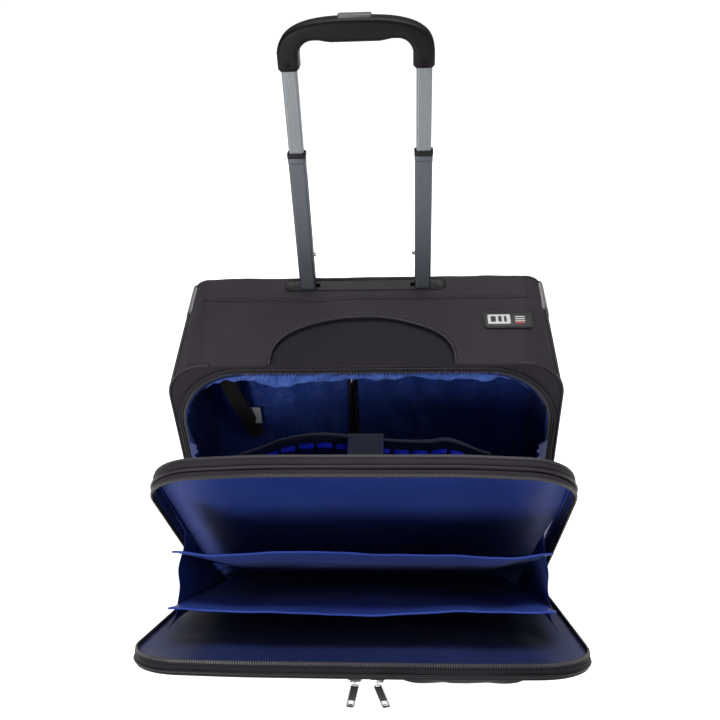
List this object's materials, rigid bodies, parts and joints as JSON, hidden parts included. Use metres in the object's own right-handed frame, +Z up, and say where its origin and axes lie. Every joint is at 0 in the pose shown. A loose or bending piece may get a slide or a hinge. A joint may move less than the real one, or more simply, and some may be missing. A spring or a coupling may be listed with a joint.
{
  "type": "rolling pilot case",
  "caption": "Soft-sided rolling pilot case, standing open, with a telescoping handle, main compartment, laptop sleeve and fold-down organizer.",
  "frame": {"origin": "on the floor, at the middle of the front skid's underside", "axes": "+Z up, -Y towards the front flap, +X to the right seen from the front"},
  "size_m": [0.4744, 0.4541, 0.7537],
  "materials": {
    "black_fabric": "coarse nylon weave",
    "blue_lining": "shiny woven lining",
    "navy_trim": "woven binding tape",
    "black_webbing": "woven webbing",
    "zip_tape": "zip tape with moulded teeth",
    "black_plastic": "fine moulded texture",
    "grey_plastic": "satin",
    "dark_tube": "anodised satin",
    "light_tube": "anodised satin, fluted",
    "steel": "bright",
    "zip_metal": "nickel",
    "pull_metal": "dark enamel with nickel edges",
    "tyre": "soft polyurethane",
    "patch_rubber": "moulded patch"
  },
  "bodies": {
    "case_body": {"base_tray": "black_plastic", "front_skid": "black_plastic", "wheel_housing_left": "black_plastic", "wheel_housing_right": "black_plastic", "wheel_axles": "steel", "back_panel": "black_fabric", "side_panel_left": "black_fabric", "side_panel_right": "black_fabric", "top_panel": "black_fabric", "slip_pocket": "black_fabric", "corner_guard_left": "grey_plastic", "corner_guard_right": "grey_plastic", "badge": "patch_rubber", "front_frame": "black_fabric", "body_zip": "zip_tape", "side_lining": "blue_lining", "back_lining": "blue_lining", "lining_zip": "navy_trim", "packing_strap": "black_webbing", "tube_bracket": "black_plastic", "outer_tube_left": "dark_tube", "outer_tube_right": "dark_tube", "handle_bezel": "black_plastic", "compartment_gussets": "blue_lining"},
    "lining_slider": {"lining_zip_slider": "zip_metal"},
    "wheel_left": {"wheel_tyre_left": "tyre", "wheel_hub_left": "grey_plastic"},
    "wheel_right": {"wheel_tyre_right": "tyre", "wheel_hub_right": "grey_plastic"},
    "handle_middle": {"mid_tube_left": "dark_tube", "mid_tube_right": "dark_tube", "mid_collars": "black_plastic"},
    "handle_upper": {"upper_tube_left": "light_tube", "upper_tube_right": "light_tube", "grip": "black_plastic", "grip_screws": "steel"},
    "button": {"release_button": "grey_plastic", "release_linkage": "steel"},
    "pin_left": {"lock_pin_left": "steel"},
    "pin_right": {"lock_pin_right": "steel"},
    "front_section": {"section_panel": "blue_lining", "section_rim": "black_fabric", "section_zip": "zip_tape", "organizer_zip_rear": "zip_tape", "main_zip_sliders": "zip_metal", "laptop_sleeve": "blue_lining", "sleeve_strap": "navy_trim", "organizer_gussets": "blue_lining"},
    "rear_divider": {"divider_rear": "blue_lining"},
    "front_divider": {"divider_front": "blue_lining"},
    "front_flap": {"flap_panel": "black_fabric", "flap_rim": "black_fabric", "organizer_zip_front": "zip_tape", "pocket_panel": "black_fabric", "pocket_zip": "zip_tape", "accessory_pocket": "black_fabric"},
    "slider_left": {"pocket_slider_left": "zip_metal"},
    "slider_right": {"pocket_slider_right": "zip_metal"},
    "pull_left": {"pocket_pull_left": "pull_metal"},
    "pull_right": {"pocket_pull_right": "pull_metal"}
  },
  "joints": [
    {"name": "wheel_left_spin", "type": "hinge", "parent": "case_body", "child": "wheel_left", "pos_m": [-0.2018, 0.098, 0.035], "axis": [1, 0, 0], "continuous": true},
    {"name": "wheel_right_spin", "type": "hinge", "parent": "case_body", "child": "wheel_right", "pos_m": [0.2018, 0.098, 0.035], "axis": [1, 0, 0], "continuous": true},
    {"name": "handle_middle_slide", "type": "slide", "parent": "case_body", "child": "handle_middle", "axis": [0, 0, 1], "range_m": [-0.157, 0.08]},
    {"name": "handle_upper_slide", "type": "slide", "parent": "handle_middle", "child": "handle_upper", "axis": [0, 0, 1], "range_m": [-0.0915, 0.1]},
    {"name": "release_button_press", "type": "slide", "parent": "handle_upper", "child": "button", "axis": [0, 0, -1], "range_m": [0, 0.0035], "stiffness_N_per_m": 2000, "springref_m": -0.0015},
    {"name": "lock_pin_left_retract", "type": "slide", "parent": "handle_upper", "child": "pin_left", "axis": [-1, 0, 0], "range_m": [0, 0.0035]},
    {"name": "lock_pin_right_retract", "type": "slide", "parent": "handle_upper", "child": "pin_right", "axis": [1, 0, 0], "range_m": [0, 0.0035]},
    {"name": "section_hinge", "type": "hinge", "parent": "case_body", "child": "front_section", "pos_m": [0, -0.016, 0.05], "axis": [-1, 0, 0], "range_deg": [0, 21.2], "deforming": ["compartment_gussets"]},
    {"name": "flap_hinge", "type": "hinge", "parent": "front_section", "child": "front_flap", "pos_m": [0, -0.04173, 0.04002], "axis": [-1, 0, 0], "range_deg": [0, 29.8], "deforming": ["organizer_gussets"]},
    {"name": "rear_divider_hinge", "type": "hinge", "parent": "front_section", "child": "rear_divider", "pos_m": [0, -0.03046, 0.05244], "axis": [-1, 0, 0], "range_deg": [0, 14.74]},
    {"name": "front_divider_hinge", "type": "hinge", "parent": "front_section", "child": "front_divider", "pos_m": [0, -0.03792, 0.04954], "axis": [-1, 0, 0], "range_deg": [0, 25.08]},
    {"name": "lining_slider_slide", "type": "slide", "parent": "case_body", "child": "lining_slider", "axis": [0, 0, -1], "range_m": [0, 0.17]},
    {"name": "pocket_slider_left_slide", "type": "slide", "parent": "front_flap", "child": "slider_left", "axis": [1, 0, 0], "range_m": [-0.17, 0.007]},
    {"name": "pocket_slider_right_slide", "type": "slide", "parent": "front_flap", "child": "slider_right", "axis": [1, 0, 0], "range_m": [-0.007, 0.155]},
    {"name": "pocket_pull_left_swing", "type": "hinge", "parent": "slider_left", "child": "pull_left", "pos_m": [-0.002, -0.31661, 0.22813], "axis": [1, 0, 0], "range_deg": [-100, 45]},
    {"name": "pocket_pull_right_swing", "type": "hinge", "parent": "slider_right", "child": "pull_right", "pos_m": [0.02, -0.31661, 0.22813], "axis": [1, 0, 0], "range_deg": [-100, 45]}
  ],
  "couplings": [
    {"joint": "lock_pin_left_retract", "follows": "release_button_press", "ratio": 1},
    {"joint": "lock_pin_right_retract", "follows": "release_button_press", "ratio": 1},
    {"joint": "rear_divider_hinge", "follows": "flap_hinge", "ratio": 0.494},
    {"joint": "front_divider_hinge", "follows": "flap_hinge", "ratio": 0.841}
  ]
}
